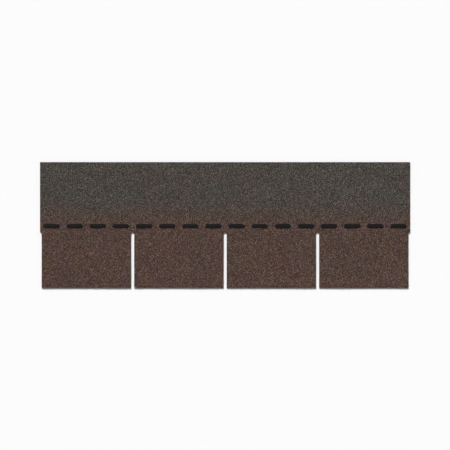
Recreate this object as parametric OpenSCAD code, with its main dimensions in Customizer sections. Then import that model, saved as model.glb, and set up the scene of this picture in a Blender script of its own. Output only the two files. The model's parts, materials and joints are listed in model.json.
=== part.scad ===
// Asphalt shingle strip: one die-cut sheet of granule-surfaced bitumen roofing.
// Four rectangular tabs hang below an uncut headlap, and a row of bitumen
// dashes on the headlap seals the tabs of the next course down.
// The strip lies flat with its granules up. The tab ends (the butt edge) face
// -Y and the headlap faces +Y. The origin is on the underside, at mid length
// and mid height.

/* [Strip] */
// Length of the strip, along X
strip_length = 1000; // [600:1:1300]
// Height of the strip from butt edge to top edge, along Y
strip_height = 340; // [280:1:420]
// Thickness of the sheet, with its granules pressed in
sheet_thickness = 3; // [2:0.1:5]

/* [Tabs] */
// Number of tabs along the strip
tab_count = 4; // [2:1:5]
// Height of tab left showing once the next course is laid
exposure = 145; // [100:1:170]
// Width of the cutout between two tabs
cutout_width = 9; // [6:0.5:14]
// How far a cutout runs on past the exposure line, under the next course
cutout_overrun = 5; // [2:1:15]

/* [Self-seal dashes] */
// Dashes along each tab: an even number leaves the middle of the tab clear
dashes_per_tab = 4; // [2:2:6]
// Gap between the ends of two dashes
dash_gap = 18; // [15:1:24]
// Width of one dash
dash_width = 12; // [6:0.5:18]
// Height that a dash stands above the sheet
dash_height = 0.8; // [0.4:0.1:1.5]
// Distance from the exposure line to the middle of the dashes
dash_setback = 22; // [16:1:40]

/* [Hidden] */
$fn = 48;

butt_y = -strip_height / 2;
exposure_y = butt_y + exposure;
tab_pitch = strip_length / tab_count;
dash_pitch = tab_pitch / dashes_per_tab;
dash_length = dash_pitch - dash_gap;
// Every cut runs this far past the sheet, so that it leaves no skin behind
cut_margin = 1;

// Slot from the butt edge up to its round inner end, centred on X = 0
module cutout_profile() {
    end_radius = cutout_width / 2;
    slot_top = exposure_y + cutout_overrun - end_radius;
    translate([-end_radius, butt_y - cut_margin])
        square([cutout_width, slot_top - butt_y + cut_margin]);
    translate([0, slot_top])
        circle(r = end_radius);
}

// The die-cut sheet. The end cutouts are half off the strip, so that two
// strips laid end to end share one whole cutout.
module shingle_strip() {
    color([0.32, 0.26, 0.23])
        linear_extrude(height = sheet_thickness)
            difference() {
                translate([-strip_length / 2, butt_y])
                    square([strip_length, strip_height]);
                for (joint = [0 : tab_count])
                    translate([joint * tab_pitch - strip_length / 2, 0])
                        cutout_profile();
            }
}

// Outline of one dash of sealant, with round ends
module dash_profile() {
    end_radius = dash_width / 2;
    straight = dash_length - dash_width;
    square([straight, dash_width], center = true);
    for (side = [-1, 1])
        translate([side * straight / 2, 0])
            circle(r = end_radius);
}

// Broken line of sealant, resting on the face of the sheet
module seal_dashes() {
    color([0.05, 0.05, 0.05])
        for (i = [0 : tab_count * dashes_per_tab - 1])
            translate([(i + 0.5) * dash_pitch - strip_length / 2,
                       exposure_y + dash_setback,
                       sheet_thickness])
                linear_extrude(height = dash_height)
                    dash_profile();
}

shingle_strip();
seal_dashes();
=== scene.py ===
"""Looks of a four-tab asphalt roof shingle: one strip, lying flat with its granules up.

The sheet is a thin bitumen carrier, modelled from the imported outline. Crushed rock granules are
set over its face as real stones, and dashes of sealing bitumen lie across the headlap.
All lengths are in metres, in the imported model's frame: X along the strip, Y up the roof, Z up.
"""
import json
import math

import bpy
from mathutils import Matrix, Vector

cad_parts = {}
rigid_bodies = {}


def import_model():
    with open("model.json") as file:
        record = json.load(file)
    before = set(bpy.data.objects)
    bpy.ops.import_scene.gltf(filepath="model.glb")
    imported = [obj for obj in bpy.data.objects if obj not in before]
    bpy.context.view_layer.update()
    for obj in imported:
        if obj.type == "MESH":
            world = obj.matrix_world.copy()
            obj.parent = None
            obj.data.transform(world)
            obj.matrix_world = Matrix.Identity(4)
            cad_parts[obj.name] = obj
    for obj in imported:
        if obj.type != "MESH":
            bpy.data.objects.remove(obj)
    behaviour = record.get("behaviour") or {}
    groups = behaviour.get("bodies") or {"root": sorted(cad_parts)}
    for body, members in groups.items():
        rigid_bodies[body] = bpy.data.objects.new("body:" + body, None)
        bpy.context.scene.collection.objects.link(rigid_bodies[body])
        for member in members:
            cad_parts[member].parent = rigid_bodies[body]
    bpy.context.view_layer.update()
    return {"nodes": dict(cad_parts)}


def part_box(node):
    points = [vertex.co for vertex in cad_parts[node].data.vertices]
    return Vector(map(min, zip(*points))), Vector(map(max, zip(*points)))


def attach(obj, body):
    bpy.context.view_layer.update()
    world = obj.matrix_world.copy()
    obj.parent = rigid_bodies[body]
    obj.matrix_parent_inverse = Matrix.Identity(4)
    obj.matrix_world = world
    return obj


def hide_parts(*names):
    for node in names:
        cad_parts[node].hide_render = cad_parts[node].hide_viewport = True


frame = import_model()

# ---------------------------------------------------------------- sizes

MM = 0.001
# Heights closer than this are level with each other.
LEVEL = 0.01 * MM

SHEET_LOW, SHEET_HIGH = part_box("shingle_strip")
DASH_LOW, DASH_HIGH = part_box("seal_dashes")
TAB_COUNT = 4
TAB_PITCH = (SHEET_HIGH.x - SHEET_LOW.x) / TAB_COUNT
EXPOSURE = 145 * MM
CUTOUT_DEPTH = 150 * MM
CUTOUT_WIDTH = 9 * MM
EXPOSURE_Y = SHEET_LOW.y + EXPOSURE
CUTOUT_END_Y = SHEET_LOW.y + CUTOUT_DEPTH
CUTOUT_RADIUS = CUTOUT_WIDTH / 2

# The rolled carrier is thinner than the finished sheet: the granules make up the rest.
CARRIER_TOP = SHEET_HIGH.z - 0.65 * MM
MAT_LEVEL = 0.45 * CARRIER_TOP
# Width and number of steps of the worn shoulder round each face
TOP_SHOULDER = (0.8 * MM, 3)
BACK_SHOULDER = (0.3 * MM, 1)
# The sheet is cut into squares of this size, so that it can bend to its wave.
GRID_STEP = 12.5 * MM
# A place off one corner of the strip, from which no two faces are equally far
SORT_CORNER = (-0.571, -0.233, 0.017)

# The sheet doesn't lie dead flat. A cloud of this length and strength lifts it off the floor,
# and the rest is the cloud's value where the sheet touches down.
WAVE_LENGTH = 160 * MM
WAVE_LIFT = 1.3 * MM
WAVE_REST = 0.18

STONE_RADIUS = 1.0 * MM
# No two stones are set closer than the gap. Many spots to a square metre are tried for them.
STONE_GAP = 1.34 * MM
SPOT_DENSITY = 6 / STONE_GAP**2
# Smallest and largest stone, and how far each corner is knocked about, in stone radii
STONE_GRADES = (0.62, 1.25)
CORNER_SCATTER = 0.34
# Share of its height that a stone keeps when it is pressed in
STONE_PRESSED = 0.72
# Share of its size at which a stone is drawn on the texture map, clear of its neighbours
MAP_SHRINK = 0.8
# Seeds of the first tab's and headlap's stones, and what each kind of draw adds to them
TAB_SEED, HEADLAP_SEED = 11, 41
CHANCE_DRAW, SHADE_DRAW, TURN_DRAW, GRADE_DRAW = 100, 200, 300, 400
SHAPE_SEED = 3
# Sides, stretch along X, height above the waist and depth below it, in stone radii
STONE_SHAPES = (
    (4, 1.00, 0.95, 0.95),
    (5, 1.25, 0.80, 0.90),
    (4, 1.10, 1.15, 0.80),
    (5, 0.95, 0.90, 1.10),
    (4, 1.35, 0.75, 0.85),
    (4, 0.85, 1.00, 1.20),
)

DASHES_PER_TAB = 4
DASH_PITCH = TAB_PITCH / DASHES_PER_TAB
DASH_LENGTH = DASH_PITCH - 2 * (DASH_LOW.x - SHEET_LOW.x)
DASH_WIDTH = DASH_HIGH.y - DASH_LOW.y
DASH_CROWN = 0.35 * MM
# The ends are rounded by just under half the width, so that the corners don't run together.
DASH_ROUNDING = 0.49 * DASH_WIDTH
DASH_RIM = 0.75 * MM
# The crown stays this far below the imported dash's top, and the foot is sunk among the stones.
DASH_SPARE = 0.05 * MM
DASH_SINK = 0.3 * MM
# Slices along and across a dash
DASH_SLICES = (16, 6)
# Axis, size, depth, strength and rest value of the clouds that make every dash different
DASH_CLOUDS = (
    ("X", 7 * MM, 1, 1.8 * MM, 0.5),
    ("Y", 9 * MM, 1, 1.6 * MM, 0.5),
    ("Z", 5 * MM, 2, 0.5 * MM, 0.6),
)

# ---------------------------------------------------------------- editing helpers


def deselect():
    bpy.ops.object.select_all(action="DESELECT")


def pick(piece):
    """Makes a piece the only selected and active one."""
    deselect()
    piece.select_set(True)
    bpy.context.view_layer.objects.active = piece


def edit(piece):
    """Opens a piece in edit mode with all of it selected."""
    pick(piece)
    bpy.ops.object.mode_set(mode="EDIT")
    bpy.ops.mesh.select_all(action="SELECT")


def done():
    """Closes the piece that edit opened."""
    bpy.ops.object.mode_set(mode="OBJECT")


def select_only(piece, kind, wanted):
    """Selects the faces, edges or vertices of an open piece that wanted says yes to."""
    bpy.ops.mesh.select_mode(type=kind)
    bpy.ops.mesh.select_all(action="DESELECT")
    bpy.ops.object.mode_set(mode="OBJECT")
    mesh = piece.data
    parts = {"FACE": mesh.polygons, "EDGE": mesh.edges, "VERT": mesh.vertices}[kind]
    parts.foreach_set("select", [wanted(part) for part in parts])
    bpy.ops.object.mode_set(mode="EDIT")


def both_ends(piece, test):
    """Says yes to an edge when test holds at both of its ends."""
    return lambda edge: all(test(piece.data.vertices[i].co) for i in edge.vertices)


def slice_across(axis, low, high, cuts):
    """Cuts an open piece by evenly spaced planes, so that it can take a wave."""
    normal = Vector()
    normal[axis] = 1
    for i in range(1, cuts):
        bpy.ops.mesh.select_all(action="SELECT")
        bpy.ops.mesh.bisect(plane_co=normal * (low + i * (high - low) / cuts), plane_no=normal)


def sort_faces(corner):
    """Numbers an open piece's faces by distance from a corner. Bevels leave that to chance."""
    cursor = bpy.context.scene.cursor
    cursor.location = corner
    bpy.ops.mesh.select_all(action="SELECT")
    bpy.ops.mesh.sort_elements(type="CURSOR_DISTANCE", elements={"FACE"})
    cursor.location = (0, 0, 0)


def apply_modifiers(piece):
    pick(piece)
    for modifier in list(piece.modifiers):
        bpy.ops.object.modifier_apply(modifier=modifier.name)


def copy_of(piece, name):
    """A copy with a mesh of its own."""
    double = piece.copy()
    double.data = piece.data.copy()
    double.name = double.data.name = name
    bpy.context.scene.collection.objects.link(double)
    return double


def cloud(name, size, depth):
    """A cloud texture to displace with: the size of its lumps, and how much finer detail it has."""
    texture = bpy.data.textures.new(name, "CLOUDS")
    texture.noise_scale = size
    texture.noise_depth = depth
    return texture


def displace(piece, texture, strength, direction, rest):
    """Moves a piece's surface along one axis by a cloud that is fixed in the part's frame.

    Where the cloud has its rest value, from 0 to 1, the surface stays in place.
    """
    modifier = piece.modifiers.new("displace", "DISPLACE")
    modifier.texture = texture
    modifier.texture_coords = "GLOBAL"
    modifier.strength = strength
    modifier.direction = direction
    modifier.mid_level = rest


# ---------------------------------------------------------------- material helpers

# Where most of a noise's values lie
NOISE_SPAN = (0.3, 0.7)
# Distance from the middle of a cell to its rim, in cells
CELL_REACH = (0.0, 0.8)


def new_material(name, roughness, gloss):
    """A material, its node tree and its shader, with an even roughness and specular level."""
    material = bpy.data.materials.new(name)
    material.use_nodes = True
    shader = material.node_tree.nodes["Principled BSDF"]
    shader.inputs["Roughness"].default_value = roughness
    shader.inputs["Specular IOR Level"].default_value = gloss
    return material, material.node_tree, shader


def feed(tree, socket, value):
    """Links a socket to another, or sets it to a plain value."""
    if isinstance(value, bpy.types.NodeSocket):
        tree.links.new(value, socket)
    else:
        socket.default_value = value


def attribute(tree, name):
    """A number that the mesh stores under a name."""
    node = tree.nodes.new("ShaderNodeAttribute")
    node.attribute_name = name
    return node.outputs["Fac"]


def place(tree):
    """Where a point lies in the part's frame."""
    return tree.nodes.new("ShaderNodeTexCoord").outputs["Object"]


def coordinates(tree, vector):
    """The X, Y and Z of a vector, by name."""
    node = tree.nodes.new("ShaderNodeSeparateXYZ")
    feed(tree, node.inputs["Vector"], vector)
    return node.outputs


def math_node(tree, operation, first, second=0.0):
    node = tree.nodes.new("ShaderNodeMath")
    node.operation = operation
    feed(tree, node.inputs[0], first)
    feed(tree, node.inputs[1], second)
    return node.outputs[0]


def between(tree, value, stops, low=0.0, high=1.0):
    """Turns a number that runs between two stops into one from low to high."""
    node = tree.nodes.new("ShaderNodeMapRange")
    for name, number in zip(("From Min", "From Max", "To Min", "To Max"), (*stops, low, high)):
        node.inputs[name].default_value = number
    feed(tree, node.inputs["Value"], value)
    return node.outputs["Result"]


def ramp(tree, value, *stops):
    """A colour that changes through stops, each a place from 0 to 1 and a colour."""
    node = tree.nodes.new("ShaderNodeValToRGB")
    elements = node.color_ramp.elements
    while len(elements) < len(stops):
        elements.new(1.0)
    for element, (at, colour) in zip(elements, stops):
        element.position = at
        element.color = (*colour, 1)
    feed(tree, node.inputs["Fac"], value)
    return node.outputs["Color"]


def mix(tree, share, first, second, blend="MIX"):
    """Blends two colours. The node's sockets share their names, so its colour ones go by number."""
    node = tree.nodes.new("ShaderNodeMix")
    node.data_type = "RGBA"
    node.blend_type = blend
    feed(tree, node.inputs[0], share)
    feed(tree, node.inputs[6], first)
    feed(tree, node.inputs[7], second)
    return node.outputs[2]


def split_colour(tree, colour):
    """A colour's red, green and blue, by name."""
    node = tree.nodes.new("ShaderNodeSeparateColor")
    feed(tree, node.inputs["Color"], colour)
    return node.outputs


def noise_node(tree, per_metre, detail):
    node = tree.nodes.new("ShaderNodeTexNoise")
    node.inputs["Scale"].default_value = per_metre
    node.inputs["Detail"].default_value = detail
    feed(tree, node.inputs["Vector"], place(tree))
    return node


def noise(tree, per_metre, detail=2.0):
    """Noise with about that many lumps to a metre."""
    return noise_node(tree, per_metre, detail).outputs["Fac"]


def three_noises(tree, per_metre, detail=2.0):
    """Three noises of the same size that have nothing to do with each other."""
    return split_colour(tree, noise_node(tree, per_metre, detail).outputs["Color"])


def cells(tree, per_metre):
    """Small separate grains: a random number for each, and its height from rim to middle."""
    node = tree.nodes.new("ShaderNodeTexVoronoi")
    node.inputs["Scale"].default_value = per_metre
    feed(tree, node.inputs["Vector"], place(tree))
    chance = split_colour(tree, node.outputs["Color"])["Red"]
    return chance, between(tree, node.outputs["Distance"], CELL_REACH, low=1.0, high=0.0)


def bump(tree, shader, height, strength, depth):
    """Gives a shader relief, up to a depth in metres."""
    node = tree.nodes.new("ShaderNodeBump")
    node.inputs["Strength"].default_value = strength
    node.inputs["Distance"].default_value = depth
    feed(tree, node.inputs["Height"], height)
    feed(tree, shader.inputs["Normal"], node.outputs["Normal"])


# ---------------------------------------------------------------- the materials

MAUVE_BROWN = (0.104, 0.049, 0.050)
MID_BROWN = (0.115, 0.056, 0.039)
WARM_BROWN = (0.126, 0.066, 0.031)
COOL_GREY = (0.065, 0.064, 0.052)
WARM_GREY = (0.093, 0.076, 0.055)
PALE_STONE = (0.106, 0.085, 0.080, 1)
# The blend drifts over the strip: between mauve and warm, redder and greyer, darker and paler.
PATCHES_PER_METRE = 24
WARM_DRIFT = 0.38
REDDER, GREYER = (1.06, 0.955, 0.99), (0.94, 1.045, 1.01)
PATCH_BRIGHTNESS = (0.95, 1.05)
# Most stones are dim and a few are bright: a power of an even chance sets how few.
STONE_BRIGHTNESS = (0.28, 2.32)
DIMNESS = 1.6
# Times that a stone's one chance is spread out again, to give a second that is independent
RESHUFFLE = 17.0

# The brown blend runs on past the exposure line, and the plainer headlap granules then take over
# along a line that wanders.
HEADLAP_STARTS = EXPOSURE_Y + 27 * MM
HEADLAP_FULL = EXPOSURE_Y + 92 * MM
HEADLAP_WANDER = 8 * MM

# The bed is bare bitumen up to the first stop, and then fines that get paler.
BROWN_BED = ((0.35, (0.008, 0.007, 0.006)), (1.0, (0.125, 0.072, 0.052)))
GREY_BED = ((0.35, (0.008, 0.008, 0.007)), (1.0, (0.100, 0.090, 0.074)))
GLASS_MAT = (0.16, 0.145, 0.12, 1)


def headlap_share(tree):
    """How much of the stone here is headlap granules, from 0 to 1."""
    lumps = noise(tree, per_metre=40)
    wander = between(tree, lumps, NOISE_SPAN, low=-HEADLAP_WANDER, high=HEADLAP_WANDER)
    across = math_node(tree, "ADD", coordinates(tree, place(tree))["Y"], wander)
    return between(tree, across, (HEADLAP_STARTS, HEADLAP_FULL))


def granule_material():
    """Crushed rock with a ceramic colour coat. Each stone has its own colour and brightness."""
    material, tree, shader = new_material("granules", roughness=0.8, gloss=0.25)
    chance = attribute(tree, "stone_chance")
    shade = attribute(tree, "stone_shade")
    warmth, redness, paleness = three_noises(tree, PATCHES_PER_METRE, detail=1.5)
    drift = between(tree, warmth, NOISE_SPAN, low=-WARM_DRIFT, high=WARM_DRIFT)
    own = between(tree, chance, (0, 1), low=0.25, high=0.75)
    drifting = math_node(tree, "ADD", own, drift)
    brown = ramp(tree, drifting, (0.0, MAUVE_BROWN), (0.5, MID_BROWN), (1.0, WARM_BROWN))
    grey = ramp(tree, chance, (0.0, COOL_GREY), (1.0, WARM_GREY))
    # In the band where both kinds lie, each stone is wholly one or the other.
    dice = math_node(tree, "FRACT", math_node(tree, "MULTIPLY", chance, RESHUFFLE))
    is_grey = math_node(tree, "LESS_THAN", dice, headlap_share(tree))
    coat = mix(tree, is_grey, brown, grey)
    coat = mix(tree, between(tree, shade, (0.4, 1.0), low=0.0, high=0.8), coat, PALE_STONE)
    tint = ramp(tree, redness, (NOISE_SPAN[0], GREYER), (NOISE_SPAN[1], REDDER))
    coat = mix(tree, 1.0, coat, tint, blend="MULTIPLY")
    bright = between(tree, math_node(tree, "POWER", shade, DIMNESS), (0, 1), *STONE_BRIGHTNESS)
    patch = between(tree, paleness, NOISE_SPAN, *PATCH_BRIGHTNESS)
    bright = math_node(tree, "MULTIPLY", bright, patch)
    grey_level = tree.nodes.new("ShaderNodeCombineColor")
    for channel in ("Red", "Green", "Blue"):
        feed(tree, grey_level.inputs[channel], bright)
    colour = mix(tree, 1.0, coat, grey_level.outputs["Color"], blend="MULTIPLY")
    feed(tree, shader.inputs["Base Color"], colour)
    return material


def bed_material():
    """Bitumen with fines pressed into it, which shows between the granules."""
    material, tree, shader = new_material("granule_bed", roughness=0.8, gloss=0.15)
    grain, height = cells(tree, per_metre=1500)
    brown = ramp(tree, grain, *BROWN_BED)
    grey = ramp(tree, grain, *GREY_BED)
    feed(tree, shader.inputs["Base Color"], mix(tree, headlap_share(tree), brown, grey))
    bump(tree, shader, height, strength=0.5, depth=0.3 * MM)
    return material


def cut_edge_material():
    """Cut bitumen with sheared stone in it, and the glass mat as a pale line near half height."""
    material, tree, shader = new_material("cut_bitumen", roughness=0.7, gloss=0.08)
    grain, height = cells(tree, per_metre=1100)
    bitumen = ramp(
        tree,
        grain,
        (0.00, (0.010, 0.009, 0.009)),
        (0.75, (0.020, 0.018, 0.017)),
        (0.95, (0.100, 0.078, 0.066)),
    )
    above_mat = math_node(tree, "SUBTRACT", attribute(tree, "level"), MAT_LEVEL)
    off_mat = math_node(tree, "ABSOLUTE", above_mat)
    line = between(tree, off_mat, (0.1 * MM, 0.25 * MM), low=1.0, high=0.0)
    frayed = between(tree, noise(tree, per_metre=700, detail=3.0), (0.45, 0.6), high=0.8)
    fibres = math_node(tree, "MULTIPLY", line, frayed)
    feed(tree, shader.inputs["Base Color"], mix(tree, fibres, bitumen, GLASS_MAT))
    bump(tree, shader, height, strength=0.6, depth=0.3 * MM)
    return material


def back_material():
    """Underside, dusted with fine sand so that strips don't stick to each other."""
    material, tree, shader = new_material("sanded_back", roughness=0.9, gloss=0.25)
    grain, height = cells(tree, per_metre=1800)
    patches = noise(tree, per_metre=9, detail=3.0)
    sand = math_node(tree, "ADD", grain, between(tree, patches, (0.35, 0.65), -0.08, 0.08))
    colour = ramp(
        tree,
        sand,
        (0.30, (0.018, 0.017, 0.017)),
        (0.60, (0.060, 0.056, 0.051)),
        (0.95, (0.210, 0.190, 0.165)),
    )
    feed(tree, shader.inputs["Base Color"], colour)
    bump(tree, shader, height, strength=0.7, depth=0.3 * MM)
    return material


def sealant_material():
    """Black bitumen, satin where it is clean and dull where mineral dust has settled."""
    material, tree, shader = new_material("sealing_bitumen", roughness=0.5, gloss=0.05)
    dust = noise(tree, per_metre=900, detail=4.0)
    colour = ramp(tree, dust, (0.45, (0.007, 0.007, 0.007)), (0.75, (0.024, 0.022, 0.020)))
    feed(tree, shader.inputs["Base Color"], colour)
    feed(tree, shader.inputs["Roughness"], between(tree, dust, (0.45, 0.7), low=0.42, high=0.6))
    bump(tree, shader, noise(tree, per_metre=350), strength=0.35, depth=0.5 * MM)
    return material


# ---------------------------------------------------------------- the sheet

BED, CUT_EDGE, BACK = range(3)
# A face is part of the top or the back when its normal points this much up or down.
FLAT = 0.95


def split_by_facing(sheet):
    """Gives the sheet its bed on top, its sanded back below and cut bitumen between them."""
    for material in (bed_material(), cut_edge_material(), back_material()):
        sheet.data.materials.append(material)
    for face in sheet.data.polygons:
        if face.normal.z > FLAT:
            face.material_index = BED
        elif face.normal.z < -FLAT:
            face.material_index = BACK
        else:
            face.material_index = CUT_EDGE


def make_carrier(wave):
    """The bitumen sheet under the granules: die-cut outline, worn shoulders, a slight wave."""
    carrier = copy_of(frame["nodes"]["shingle_strip"], "bitumen_sheet")
    carrier.parent = None
    for key in list(carrier.keys()):
        del carrier[key]
    carrier.data.materials.clear()
    edit(carrier)
    bpy.ops.mesh.remove_doubles(threshold=LEVEL / 10)
    bpy.ops.mesh.dissolve_limited(angle_limit=math.radians(1))
    select_only(carrier, "VERT", lambda v: v.co.z > SHEET_HIGH.z / 2)
    bpy.ops.transform.translate(value=(0, 0, CARRIER_TOP - SHEET_HIGH.z))
    for height, (width, steps) in ((CARRIER_TOP, TOP_SHOULDER), (SHEET_LOW.z, BACK_SHOULDER)):
        on_rim = both_ends(carrier, lambda co: abs(co.z - height) < LEVEL)
        select_only(carrier, "EDGE", on_rim)
        bpy.ops.mesh.bevel(offset=width, segments=steps, affect="EDGES", clamp_overlap=True)
    for axis in (0, 1):
        low, high = SHEET_LOW[axis], SHEET_HIGH[axis]
        slice_across(axis, low, high, round((high - low) / GRID_STEP))
    # Stones are strewn face by face, so the same order gives the same stones every run.
    sort_faces(SORT_CORNER)
    done()
    # The height above the back, kept from before the wave, tells the cut edge where the mat is.
    level = carrier.data.attributes.new("level", "FLOAT", "POINT")
    level.data.foreach_set("value", [v.co.z for v in carrier.data.vertices])
    split_by_facing(carrier)
    displace(carrier, wave, WAVE_LIFT, "Z", WAVE_REST)
    apply_modifiers(carrier)
    bpy.ops.object.shade_smooth_by_angle(angle=math.radians(40))
    return carrier


# ---------------------------------------------------------------- the granules


def make_stones(material):
    """A few crushed rock shapes in a collection of their own, each about a granule's size."""
    quarry = bpy.data.collections.new("stone_shapes")
    bpy.context.scene.collection.children.link(quarry)
    for i, (sides, stretch, height, depth) in enumerate(STONE_SHAPES):
        deselect()
        bpy.ops.mesh.primitive_cone_add(
            vertices=sides,
            radius1=STONE_RADIUS,
            radius2=0,
            depth=height * STONE_RADIUS,
            end_fill_type="NOTHING",
        )
        stone = bpy.context.object
        stone.name = f"stone_shape_{i}"
        edit(stone)
        bpy.ops.transform.resize(value=(stretch, 1, 1))
        # The open foot is filled and drawn down to a point, which closes the stone.
        select_only(stone, "VERT", lambda v: v.co.z < 0)
        bpy.ops.mesh.edge_face_add()
        bpy.ops.mesh.poke(offset=depth * STONE_RADIUS)
        bpy.ops.mesh.select_all(action="SELECT")
        bpy.ops.transform.vertex_random(
            offset=CORNER_SCATTER * STONE_RADIUS, uniform=1.0, seed=SHAPE_SEED + i
        )
        bpy.ops.mesh.normals_make_consistent(inside=False)
        done()
        stone.data.materials.append(material)
        for home in stone.users_collection:
            home.objects.unlink(stone)
        quarry.objects.link(stone)
    return quarry


def geometry_node(tree, kind, inputs=(), **settings):
    """Adds a geometry node, and feeds its named inputs with sockets or plain values."""
    node = tree.nodes.new(kind)
    for name, value in settings.items():
        setattr(node, name, value)
    for name, value in dict(inputs).items():
        feed(tree, node.inputs[name], value)
    return node


def store(tree, geometry, name, kind, value, domain="POINT"):
    """Keeps a value on the geometry under a name, for the material or for a later node."""
    node = geometry_node(
        tree,
        "GeometryNodeStoreNamedAttribute",
        {"Geometry": geometry, "Name": name},
        data_type=kind,
        domain=domain,
    )
    feed(tree, node.inputs["Value"], value)
    return node.outputs["Geometry"]


def random_number(tree, seed, low=0.0, high=1.0):
    """A random number for each point. The node's number sockets share their names with others."""
    node = geometry_node(tree, "FunctionNodeRandomValue", {"Seed": seed})
    node.inputs[2].default_value = low
    node.inputs[3].default_value = high
    return node.outputs[1]


def vector_math(tree, operation, *values):
    node = tree.nodes.new("ShaderNodeVectorMath")
    node.operation = operation
    for socket, value in zip(node.inputs, values):
        feed(tree, socket, value)
    return node.outputs["Value" if operation == "LENGTH" else "Vector"]


def die_cut(tree, position, left, right):
    """Moves what reaches over the outline, or into the cutouts at left and right, back flush."""
    here = coordinates(tree, position)
    # The nearest point on the middle line of the nearest cutout
    on_right = math_node(tree, "GREATER_THAN", here["X"], (left + right) / 2)
    end_centre = CUTOUT_END_Y - CUTOUT_RADIUS
    spine = tree.nodes.new("ShaderNodeCombineXYZ")
    feed(tree, spine.inputs["X"], between(tree, on_right, (0, 1), left, right))
    feed(tree, spine.inputs["Y"], math_node(tree, "MINIMUM", here["Y"], end_centre))
    feed(tree, spine.inputs["Z"], here["Z"])
    on_spine = spine.outputs["Vector"]
    off = vector_math(tree, "SUBTRACT", position, on_spine)
    push = math_node(tree, "DIVIDE", CUTOUT_RADIUS, vector_math(tree, "LENGTH", off))
    push = math_node(tree, "MAXIMUM", push, 1.0)
    clear = vector_math(tree, "MULTIPLY_ADD", off, push, on_spine)
    inside = vector_math(tree, "MAXIMUM", clear, (SHEET_LOW.x, SHEET_LOW.y, -1))
    return vector_math(tree, "MINIMUM", inside, (SHEET_HIGH.x, SHEET_HIGH.y, 1))


def stone_setting(quarry, seed, left, right, low, high):
    """Geometry nodes that set stones over a face, press them level and trim them."""
    tree = bpy.data.node_groups.new("set_granules", "GeometryNodeTree")
    for way in ("INPUT", "OUTPUT"):
        tree.interface.new_socket("Geometry", in_out=way, socket_type="NodeSocketGeometry")
    face = tree.nodes.new("NodeGroupInput").outputs[0]
    position = tree.nodes.new("GeometryNodeInputPosition").outputs[0]

    spots = geometry_node(
        tree,
        "GeometryNodeDistributePointsOnFaces",
        {"Mesh": face, "Distance Min": STONE_GAP, "Density Max": SPOT_DENSITY, "Seed": seed},
        distribute_method="POISSON",
    )
    points = spots.outputs["Points"]
    chance = random_number(tree, seed + CHANCE_DRAW)
    points = store(tree, points, "stone_chance", "FLOAT", chance)
    shade = random_number(tree, seed + SHADE_DRAW)
    points = store(tree, points, "stone_shade", "FLOAT", shade)
    points = store(tree, points, "stone_seat", "FLOAT_VECTOR", position)

    shapes = geometry_node(
        tree,
        "GeometryNodeCollectionInfo",
        {"Collection": quarry, "Separate Children": True, "Reset Children": True},
    )
    turn = geometry_node(
        tree,
        "FunctionNodeRandomValue",
        {"Max": (math.tau,) * 3, "Seed": seed + TURN_DRAW},
        data_type="FLOAT_VECTOR",
    )
    placed = geometry_node(
        tree,
        "GeometryNodeInstanceOnPoints",
        {
            "Points": points,
            "Instance": shapes.outputs[0],
            "Pick Instance": True,
            "Rotation": turn.outputs[0],
            "Scale": random_number(tree, seed + GRADE_DRAW, *STONE_GRADES),
        },
    )
    real = geometry_node(
        tree, "GeometryNodeRealizeInstances", {"Geometry": placed.outputs["Instances"]}
    )

    # Rollers press every stone into its seat, which leaves it a little flatter.
    seat = geometry_node(
        tree, "GeometryNodeInputNamedAttribute", {"Name": "stone_seat"}, data_type="FLOAT_VECTOR"
    )
    reach = vector_math(tree, "SUBTRACT", position, seat.outputs[0])
    pressed = vector_math(tree, "MULTIPLY_ADD", reach, (1, 1, STONE_PRESSED), seat.outputs[0])
    trimmed = geometry_node(
        tree,
        "GeometryNodeSetPosition",
        {"Geometry": real.outputs["Geometry"], "Position": die_cut(tree, pressed, left, right)},
    )

    # The map looks straight down. Each stone is drawn in a little, clear of its neighbours.
    shrink = (MAP_SHRINK, MAP_SHRINK, 0)
    drawn_in = vector_math(tree, "MULTIPLY_ADD", reach, shrink, seat.outputs[0])
    from_corner = vector_math(tree, "SUBTRACT", drawn_in, (low.x, low.y, 0))
    chart = vector_math(tree, "DIVIDE", from_corner, (high.x - low.x, high.y - low.y, 1))
    stones = store(tree, trimmed.outputs["Geometry"], "OFBake", "FLOAT2", chart, "CORNER")
    feed(tree, tree.nodes.new("NodeGroupOutput").inputs[0], stones)
    return tree


def make_granules(carrier, quarry, name, low, high, seed):
    """The stones of one zone of the sheet's face, as one joined mesh."""
    granules = copy_of(carrier, name)
    edit(granules)

    def out_of_zone(face):
        x, y, _ = face.center
        in_zone = low.x < x < high.x and low.y < y < high.y
        return face.material_index != BED or not in_zone

    select_only(granules, "FACE", out_of_zone)
    bpy.ops.mesh.delete(type="FACE")
    done()
    xs, ys, _ = zip(*(v.co for v in granules.data.vertices))
    overhang = Vector((2 * STONE_RADIUS, 2 * STONE_RADIUS))
    map_low = Vector((min(xs), min(ys))) - overhang
    map_high = Vector((max(xs), max(ys))) + overhang
    modifier = granules.modifiers.new("granules", "NODES")
    modifier.node_group = stone_setting(quarry, seed, low.x, high.x, map_low, map_high)
    apply_modifiers(granules)
    for spare in ("stone_seat", "level", "id", "UVMap"):
        granules.data.attributes.remove(granules.data.attributes[spare])
    granules.data.materials.clear()
    granules.data.materials.append(quarry.objects[0].data.materials[0])
    return granules


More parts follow.
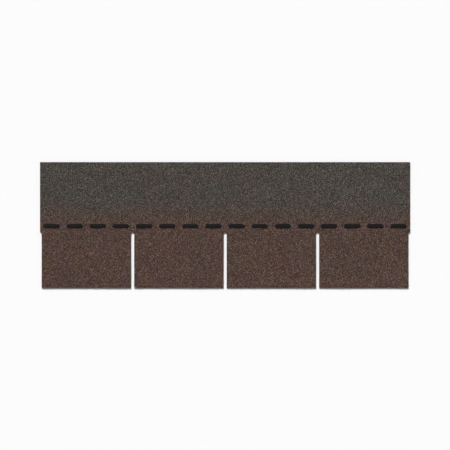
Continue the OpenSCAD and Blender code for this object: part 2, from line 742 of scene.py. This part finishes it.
def make_all_granules(carrier):
    """Eight pieces: the granules of each tab, and of the headlap above each tab."""
    quarry = make_stones(granule_material())
    granules = []
    for tab in range(TAB_COUNT):
        left = SHEET_LOW.x + tab * TAB_PITCH
        right = left + TAB_PITCH
        zones = (
            ("tab", SHEET_LOW.y, CUTOUT_END_Y, TAB_SEED + tab),
            ("headlap", CUTOUT_END_Y, SHEET_HIGH.y, HEADLAP_SEED + tab),
        )
        for kind, bottom, top, seed in zones:
            name = f"granules_{kind}_{tab + 1}"
            low, high = Vector((left, bottom)), Vector((right, top))
            granules.append(make_granules(carrier, quarry, name, low, high, seed))
    for stone in list(quarry.objects):
        bpy.data.objects.remove(stone)
    bpy.data.collections.remove(quarry)
    return granules


# ---------------------------------------------------------------- the sealing dashes


def make_dash():
    """One hot-poured dash: round ends, a crowned top and a soft rim, sunk among the stones."""
    top = DASH_HIGH.z - DASH_SPARE - DASH_CROWN
    foot = CARRIER_TOP - DASH_SINK
    middle = Vector((0, (DASH_LOW.y + DASH_HIGH.y) / 2, (top + foot) / 2))
    deselect()
    bpy.ops.mesh.primitive_cube_add(
        size=1, location=middle, scale=(DASH_LENGTH, DASH_WIDTH, top - foot)
    )
    bpy.ops.object.transform_apply(location=True, rotation=False, scale=True)
    dash = bpy.context.object
    edit(dash)
    corners = dash.data.vertices

    def is_upright(edge):
        first, second = (corners[i].co for i in edge.vertices)
        return abs(first.z - second.z) > (top - foot) / 2

    select_only(dash, "EDGE", is_upright)
    bpy.ops.mesh.bevel(offset=DASH_ROUNDING, segments=8, affect="EDGES")
    select_only(dash, "EDGE", both_ends(dash, lambda co: co.z > top - LEVEL))
    bpy.ops.mesh.bevel(offset=DASH_RIM, segments=4, affect="EDGES", clamp_overlap=True)
    slice_across(0, -DASH_LENGTH / 2, DASH_LENGTH / 2, DASH_SLICES[0])
    slice_across(1, DASH_LOW.y, DASH_HIGH.y, DASH_SLICES[1])
    on_ridge = DASH_WIDTH / DASH_SLICES[1] / 2
    select_only(dash, "VERT", lambda v: v.co.z > middle.z and abs(v.co.y - middle.y) < on_ridge)
    bpy.ops.transform.translate(
        value=(0, 0, DASH_CROWN),
        use_proportional_edit=True,
        proportional_edit_falloff="SMOOTH",
        proportional_size=DASH_WIDTH / 2,
    )
    sort_faces(SORT_CORNER)
    done()
    return dash


def make_dashes(wave):
    """The whole broken line of sealant. Clouds make every dash a little different."""
    dashes = make_dash()
    count = TAB_COUNT * DASHES_PER_TAB
    row = [dashes] + [copy_of(dashes, f"dash_{i}") for i in range(1, count)]
    deselect()
    for i, dash in enumerate(row):
        x = SHEET_LOW.x + (i + 0.5) * DASH_PITCH
        dash.data.transform(Matrix.Translation((x, 0, 0)))
        dash.select_set(True)
    bpy.context.view_layer.objects.active = dashes
    bpy.ops.object.join()
    dashes.name = dashes.data.name = "sealant_dashes"
    for axis, size, depth, strength, rest in DASH_CLOUDS:
        displace(dashes, cloud(f"dash_cloud_{axis}", size, depth), strength, axis, rest)
    displace(dashes, wave, WAVE_LIFT, "Z", WAVE_REST)
    apply_modifiers(dashes)
    bpy.ops.object.shade_smooth_by_angle(angle=math.radians(60))
    dashes.data.materials.append(sealant_material())
    return dashes


# ---------------------------------------------------------------- the part

sheet_wave = cloud("sheet_wave", WAVE_LENGTH, 2)
sheet = make_carrier(sheet_wave)
granules = make_all_granules(sheet)
dashes = make_dashes(sheet_wave)

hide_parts("shingle_strip")
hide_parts("seal_dashes")
for piece in [sheet, *granules, dashes]:
    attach(piece, "root")

# ---------------------------------------------------------------- floor, light and camera

FLOOR_SIDE = 60
FLOOR_DROP = 0.05 * MM
FLOOR_WHITE = 0.80
KEY_HEIGHT = math.radians(31)
KEY_FROM_LEFT = math.radians(22)
KEY_SOFTNESS = math.radians(9)
KEY_STRENGTH = 5.6
CEILING_GLOW = 0.26
WALL_GLOW = 0.96
# The walls' glow fades to the ceiling's from 9 to 18 degrees above the horizon.
WALL_TOP = (math.sin(math.radians(9)), math.sin(math.radians(18)))
# Width of floor that the camera takes in, and its lens and sensor in millimetres
VIEW_WIDTH = 1.216
LENS, SENSOR = 100, 36
# How far the camera sees, in metres
CAMERA_REACH = 100


def make_floor():
    """A plain pale floor, wide enough to reach the horizon."""
    deselect()
    bpy.ops.mesh.primitive_plane_add(size=FLOOR_SIDE, location=(0, 0, SHEET_LOW.z - FLOOR_DROP))
    floor = bpy.context.object
    floor.name = "floor"
    material, _, shader = new_material("pale_floor", roughness=0.9, gloss=0.2)
    shader.inputs["Base Color"].default_value = (FLOOR_WHITE, FLOOR_WHITE, FLOOR_WHITE, 1)
    floor.data.materials.append(material)


def make_key_light():
    """A soft key light, low over the headlap and a little from the left."""
    lamp = bpy.data.lights.new("key_light", "SUN")
    lamp.energy = KEY_STRENGTH
    lamp.angle = KEY_SOFTNESS
    key = bpy.data.objects.new("key_light", lamp)
    bpy.context.scene.collection.objects.link(key)
    towards = Vector(
        (
            -math.cos(KEY_HEIGHT) * math.sin(KEY_FROM_LEFT),
            math.cos(KEY_HEIGHT) * math.cos(KEY_FROM_LEFT),
            math.sin(KEY_HEIGHT),
        )
    )
    key.rotation_euler = towards.to_track_quat("Z", "Y").to_euler()


def make_studio():
    """White walls round the floor, under a dimmer ceiling that gives a weak even fill."""
    world = bpy.data.worlds.new("studio")
    bpy.context.scene.world = world
    world.use_nodes = True
    tree = world.node_tree
    direction = tree.nodes.new("ShaderNodeTexCoord").outputs["Generated"]
    height = coordinates(tree, direction)["Z"]
    glow = between(tree, height, WALL_TOP, low=WALL_GLOW, high=CEILING_GLOW)
    background = tree.nodes["Background"]
    background.inputs["Color"].default_value = (1, 1, 1, 1)
    feed(tree, background.inputs["Strength"], glow)


def make_camera():
    """Straight above the strip, with the headlap at the top."""
    data = bpy.data.cameras.new("camera")
    data.lens = LENS
    data.sensor_width = SENSOR
    data.clip_end = CAMERA_REACH
    camera = bpy.data.objects.new("camera", data)
    camera.location = (0, 0, SHEET_HIGH.z + VIEW_WIDTH * LENS / SENSOR)
    bpy.context.scene.collection.objects.link(camera)
    bpy.context.scene.camera = camera


make_floor()
make_key_light()
make_studio()
make_camera()
bpy.context.scene.view_settings.view_transform = "Standard"
